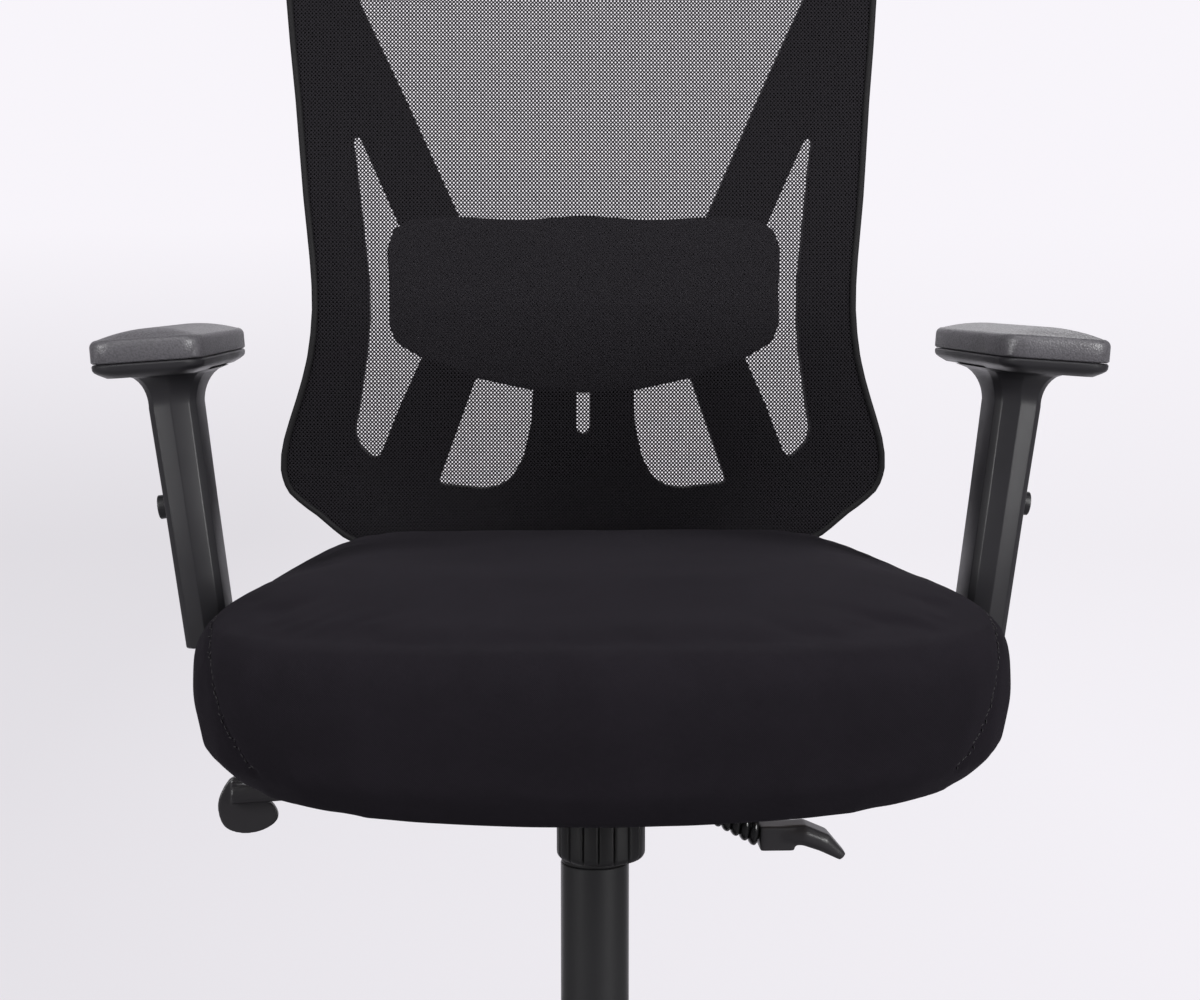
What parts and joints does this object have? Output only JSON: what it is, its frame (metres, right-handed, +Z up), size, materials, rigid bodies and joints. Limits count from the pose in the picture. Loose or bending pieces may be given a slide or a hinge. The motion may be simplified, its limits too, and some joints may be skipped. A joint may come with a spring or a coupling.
{
  "type": "swivel office chair",
  "caption": "Office swivel chair with a star base on casters, a gas lift, a tilting seat, height-adjustable armrests and a mesh back with a sliding lumbar pad.",
  "frame": {"origin": "on the floor, under the middle of the chair's overall box, at rest with the casters trailing to the rear", "axes": "+Z up, the seat faces -Y, +X is the sitter's left"},
  "size_m": [0.6522, 0.646, 1.092],
  "materials": {
    "seat_fabric": "woven upholstery fabric with stitched seams, near black",
    "back_mesh": "open-weave nylon mesh, black",
    "frame_nylon": "moulded glass-filled nylon, fine texture",
    "arm_plastic": "satin moulded plastic",
    "pad_pu": "soft polyurethane with a pebbled grain",
    "painted_steel": "black powder coat",
    "bare_steel": "zinc-plated steel",
    "piston_chrome": "polished chrome",
    "seat_board": "moulded plywood",
    "boot_rubber": "glossy ribbed rubber",
    "caster_nylon": "hard moulded nylon"
  },
  "bodies": {
    "base": {"star_base": "frame_nylon", "lift_outer_tube": "painted_steel", "lift_guide_bush": "frame_nylon"},
    "caster_1": {"caster_1_hood": "frame_nylon", "caster_1_stem": "bare_steel", "caster_1_axle": "bare_steel"},
    "caster_1_left": {"caster_1_wheel_left": "caster_nylon"},
    "caster_1_right": {"caster_1_wheel_right": "caster_nylon"},
    "caster_2": {"caster_2_hood": "frame_nylon", "caster_2_stem": "bare_steel", "caster_2_axle": "bare_steel"},
    "caster_2_left": {"caster_2_wheel_left": "caster_nylon"},
    "caster_2_right": {"caster_2_wheel_right": "caster_nylon"},
    "caster_3": {"caster_3_hood": "frame_nylon", "caster_3_stem": "bare_steel", "caster_3_axle": "bare_steel"},
    "caster_3_left": {"caster_3_wheel_left": "caster_nylon"},
    "caster_3_right": {"caster_3_wheel_right": "caster_nylon"},
    "caster_4": {"caster_4_hood": "frame_nylon", "caster_4_stem": "bare_steel", "caster_4_axle": "bare_steel"},
    "caster_4_left": {"caster_4_wheel_left": "caster_nylon"},
    "caster_4_right": {"caster_4_wheel_right": "caster_nylon"},
    "caster_5": {"caster_5_hood": "frame_nylon", "caster_5_stem": "bare_steel", "caster_5_axle": "bare_steel"},
    "caster_5_left": {"caster_5_wheel_left": "caster_nylon"},
    "caster_5_right": {"caster_5_wheel_right": "caster_nylon"},
    "lift": {"lift_cylinder": "piston_chrome"},
    "release_pin": {"lift_release_pin": "bare_steel"},
    "mechanism": {"mechanism_housing": "painted_steel", "front_axle": "bare_steel", "main_axle": "bare_steel", "tension_spring": "bare_steel"},
    "tension_adjuster": {"tension_knob": "frame_nylon", "tension_bolt": "bare_steel"},
    "tension_nut": {"tension_nut": "bare_steel"},
    "height_lever": {"height_lever": "frame_nylon"},
    "lock_lever": {"tilt_lock_lever": "frame_nylon", "lock_lever_boot": "boot_rubber"},
    "seat": {"seat_carrier": "painted_steel", "seat_pan": "seat_board", "seat_cushion": "seat_fabric", "arm_upright_left": "arm_plastic", "arm_upright_right": "arm_plastic"},
    "back": {"back_bracket": "painted_steel", "back_frame": "frame_nylon", "back_mesh": "back_mesh", "back_bolt_left": "bare_steel", "back_bolt_right": "bare_steel"},
    "lumbar": {"lumbar_pad": "frame_nylon", "lumbar_knob": "frame_nylon"},
    "arm_left": {"arm_sleeve_left": "arm_plastic"},
    "arm_button_left": {"arm_button_left": "arm_plastic"},
    "arm_pad_left": {"arm_pad_base_left": "arm_plastic", "arm_pad_left": "pad_pu"},
    "arm_right": {"arm_sleeve_right": "arm_plastic"},
    "arm_button_right": {"arm_button_right": "arm_plastic"},
    "arm_pad_right": {"arm_pad_base_right": "arm_plastic", "arm_pad_right": "pad_pu"}
  },
  "joints": [
    {"name": "caster_1_swivel", "type": "hinge", "parent": "base", "child": "caster_1", "pos_m": [0, -0.3045, 0.07], "axis": [0, 0, 1], "continuous": true},
    {"name": "caster_1_left_roll", "type": "hinge", "parent": "caster_1", "child": "caster_1_left", "pos_m": [0, -0.2845, 0.02969], "axis": [1, 0, 0], "continuous": true},
    {"name": "caster_1_right_roll", "type": "hinge", "parent": "caster_1", "child": "caster_1_right", "pos_m": [0, -0.2845, 0.02969], "axis": [1, 0, 0], "continuous": true},
    {"name": "caster_2_swivel", "type": "hinge", "parent": "base", "child": "caster_2", "pos_m": [0.29958, -0.08684, 0.07], "axis": [0, 0, 1], "continuous": true},
    {"name": "caster_2_left_roll", "type": "hinge", "parent": "caster_2", "child": "caster_2_left", "pos_m": [0.29958, -0.06684, 0.02969], "axis": [1, 0, 0], "continuous": true},
    {"name": "caster_2_right_roll", "type": "hinge", "parent": "caster_2", "child": "caster_2_right", "pos_m": [0.29958, -0.06684, 0.02969], "axis": [1, 0, 0], "continuous": true},
    {"name": "caster_3_swivel", "type": "hinge", "parent": "base", "child": "caster_3", "pos_m": [0.18515, 0.26534, 0.07], "axis": [0, 0, 1], "continuous": true},
    {"name": "caster_3_left_roll", "type": "hinge", "parent": "caster_3", "child": "caster_3_left", "pos_m": [0.18515, 0.28534, 0.02969], "axis": [1, 0, 0], "continuous": true},
    {"name": "caster_3_right_roll", "type": "hinge", "parent": "caster_3", "child": "caster_3_right", "pos_m": [0.18515, 0.28534, 0.02969], "axis": [1, 0, 0], "continuous": true},
    {"name": "caster_4_swivel", "type": "hinge", "parent": "base", "child": "caster_4", "pos_m": [-0.18515, 0.26534, 0.07], "axis": [0, 0, 1], "continuous": true},
    {"name": "caster_4_left_roll", "type": "hinge", "parent": "caster_4", "child": "caster_4_left", "pos_m": [-0.18515, 0.28534, 0.02969], "axis": [1, 0, 0], "continuous": true},
    {"name": "caster_4_right_roll", "type": "hinge", "parent": "caster_4", "child": "caster_4_right", "pos_m": [-0.18515, 0.28534, 0.02969], "axis": [1, 0, 0], "continuous": true},
    {"name": "caster_5_swivel", "type": "hinge", "parent": "base", "child": "caster_5", "pos_m": [-0.29958, -0.08684, 0.07], "axis": [0, 0, 1], "continuous": true},
    {"name": "caster_5_left_roll", "type": "hinge", "parent": "caster_5", "child": "caster_5_left", "pos_m": [-0.29958, -0.06684, 0.02969], "axis": [1, 0, 0], "continuous": true},
    {"name": "caster_5_right_roll", "type": "hinge", "parent": "caster_5", "child": "caster_5_right", "pos_m": [-0.29958, -0.06684, 0.02969], "axis": [1, 0, 0], "continuous": true},
    {"name": "lift_height", "type": "slide", "parent": "base", "child": "lift", "axis": [0, 0, 1], "range_m": [-0.025, 0.075]},
    {"name": "release_press", "type": "slide", "parent": "lift", "child": "release_pin", "axis": [0, 0, 1], "range_m": [-0.0032, 0]},
    {"name": "chair_swivel", "type": "hinge", "parent": "lift", "child": "mechanism", "pos_m": [0, 0.0105, 0.35], "axis": [0, 0, 1], "continuous": true},
    {"name": "tension_turn", "type": "hinge", "parent": "mechanism", "child": "tension_adjuster", "pos_m": [0, -0.0895, 0.34], "axis": [0, 0, 1], "range_deg": [0, 720]},
    {"name": "tension_nut_travel", "type": "slide", "parent": "mechanism", "child": "tension_nut", "axis": [0, 0, 1], "range_m": [-0.0031, 0], "deforming": ["tension_spring"]},
    {"name": "height_lever_lift", "type": "hinge", "parent": "mechanism", "child": "height_lever", "pos_m": [-0.045, 0.0105, 0.3785], "axis": [0, 1, 0], "range_deg": [0, 4], "stiffness_Nm_per_rad": 2, "springref_deg": -20.05},
    {"name": "lock_lever_lift", "type": "hinge", "parent": "mechanism", "child": "lock_lever", "pos_m": [0.05, -0.0195, 0.3545], "axis": [0, -1, 0], "range_deg": [0, 8]},
    {"name": "back_recline", "type": "hinge", "parent": "mechanism", "child": "back", "pos_m": [0, 0.0605, 0.37], "axis": [-1, 0, 0], "range_deg": [0, 20], "stiffness_Nm_per_rad": 60, "springref_deg": -25.78},
    {"name": "seat_tilt", "type": "hinge", "parent": "mechanism", "child": "seat", "pos_m": [0, -0.1075, 0.371], "axis": [-1, 0, 0], "range_deg": [0, 6.05]},
    {"name": "lumbar_height", "type": "slide", "parent": "back", "child": "lumbar", "axis": [0, 0, 1], "range_m": [-0.018, 0.018]},
    {"name": "arm_left_height", "type": "slide", "parent": "seat", "child": "arm_left", "axis": [0.1262, 0, 0.992], "range_m": [-0.02, 0.05]},
    {"name": "arm_left_button", "type": "slide", "parent": "arm_left", "child": "arm_button_left", "axis": [-0.992, 0, 0.1262], "range_m": [0, 0.003], "stiffness_N_per_m": 400, "springref_m": -0.004},
    {"name": "arm_left_pad_slide", "type": "slide", "parent": "arm_left", "child": "arm_pad_left", "axis": [0, 1, 0], "range_m": [-0.03, 0.03]},
    {"name": "arm_right_height", "type": "slide", "parent": "seat", "child": "arm_right", "axis": [-0.1262, 0, 0.992], "range_m": [-0.02, 0.05]},
    {"name": "arm_right_button", "type": "slide", "parent": "arm_right", "child": "arm_button_right", "axis": [0.992, 0, 0.1262], "range_m": [0, 0.003], "stiffness_N_per_m": 400, "springref_m": -0.004},
    {"name": "arm_right_pad_slide", "type": "slide", "parent": "arm_right", "child": "arm_pad_right", "axis": [0, 1, 0], "range_m": [-0.03, 0.03]}
  ],
  "couplings": [
    {"joint": "release_press", "follows": "height_lever_lift", "m_per_rad": -0.045},
    {"joint": "tension_nut_travel", "follows": "tension_turn", "m_per_rad": -0.00023873},
    {"joint": "seat_tilt", "follows": "back_recline", "ratio": 0.3}
  ]
}
